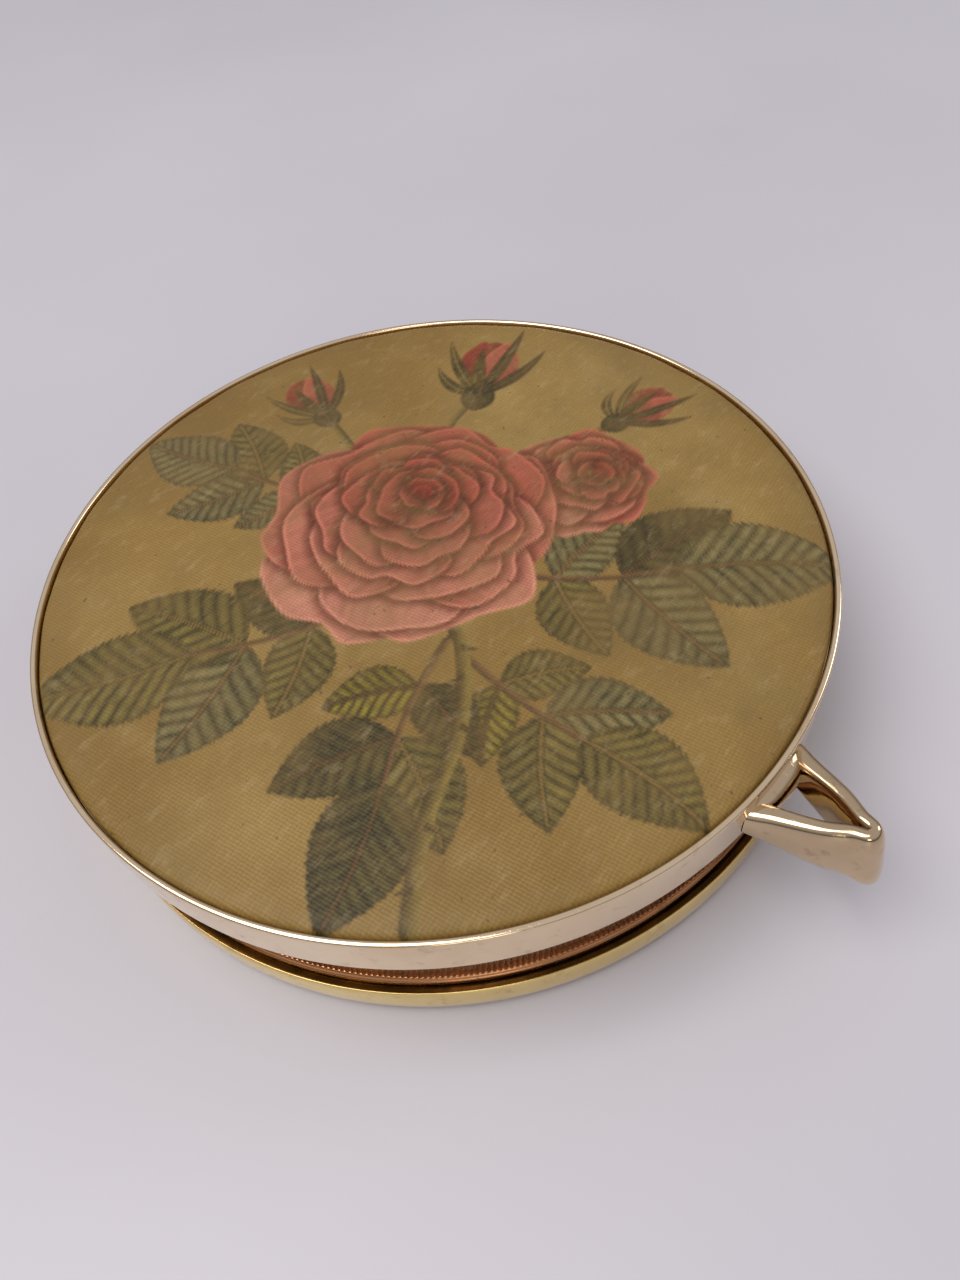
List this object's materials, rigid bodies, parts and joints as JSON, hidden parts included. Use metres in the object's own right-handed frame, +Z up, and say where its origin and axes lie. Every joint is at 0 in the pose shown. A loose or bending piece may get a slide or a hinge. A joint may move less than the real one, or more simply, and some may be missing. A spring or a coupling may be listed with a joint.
{
  "type": "powder compact",
  "caption": "Round hinged powder compact with a fabric-covered lid, gold rims, recessed waist, triangular thumb loop, mirror, puff and sifter.",
  "frame": {"origin": "centre of the flat underside, which rests on the table", "axes": "+Z up through the lid; +Y towards the hinge, so the thumb loop points to -Y; +X to the right"},
  "size_m": [0.072, 0.0821, 0.0165],
  "materials": {
    "gold": "polished gold plate over brass",
    "satin_gold": "satin gold plate over brass",
    "inner_gold": "lightly brushed gold plate",
    "steel": "drawn steel wire",
    "spring_bronze": "rolled phosphor bronze",
    "printed_fabric": "antique gold satin weave with a printed rose spray",
    "padding": "pressed felt",
    "card": "grey board",
    "mirror": "silvered glass",
    "powder": "matt face powder, skin beige",
    "gauze": "fine silk gauze",
    "velour": "soft velour",
    "satin": "satin back and ribbon"
  },
  "bodies": {
    "base": {"base_cup": "satin_gold", "waist_band": "gold", "inner_pan": "inner_gold", "powder_well": "inner_gold", "powder_fill": "powder", "sifter_frame": "inner_gold", "sifter_mesh": "gauze", "mesh_ring": "inner_gold", "base_hinge": "gold", "hinge_pin": "steel"},
    "lid": {"lid_rim": "gold", "panel_disc": "card", "panel_padding": "padding", "fabric_panel": "printed_fabric", "mirror_card": "card", "mirror": "mirror", "mirror_bezel": "inner_gold", "lid_hinge": "gold", "catch_tongue": "inner_gold", "thumb_loop": "gold"},
    "puff": {"puff_pad": "velour", "puff_back": "satin", "puff_ribbon": "satin"},
    "catch": {"catch_spring": "spring_bronze"}
  },
  "joints": [
    {"name": "lid_hinge_joint", "type": "hinge", "parent": "base", "child": "lid", "pos_m": [0, 0.03565, 0.011], "axis": [-1, 0, 0], "range_deg": [0, 115]},
    {"name": "puff_lift", "type": "slide", "parent": "base", "child": "puff", "axis": [0, 0, 1], "range_m": [0, 0.005]},
    {"name": "catch_flex", "type": "slide", "parent": "base", "child": "catch", "axis": [0, 1, 0], "range_m": [0, 0.0002], "stiffness_N_per_m": 600}
  ],
  "couplings": [
    {"joint": "puff_lift", "follows": "lid_hinge_joint", "m_per_rad": 0.00249}
  ]
}
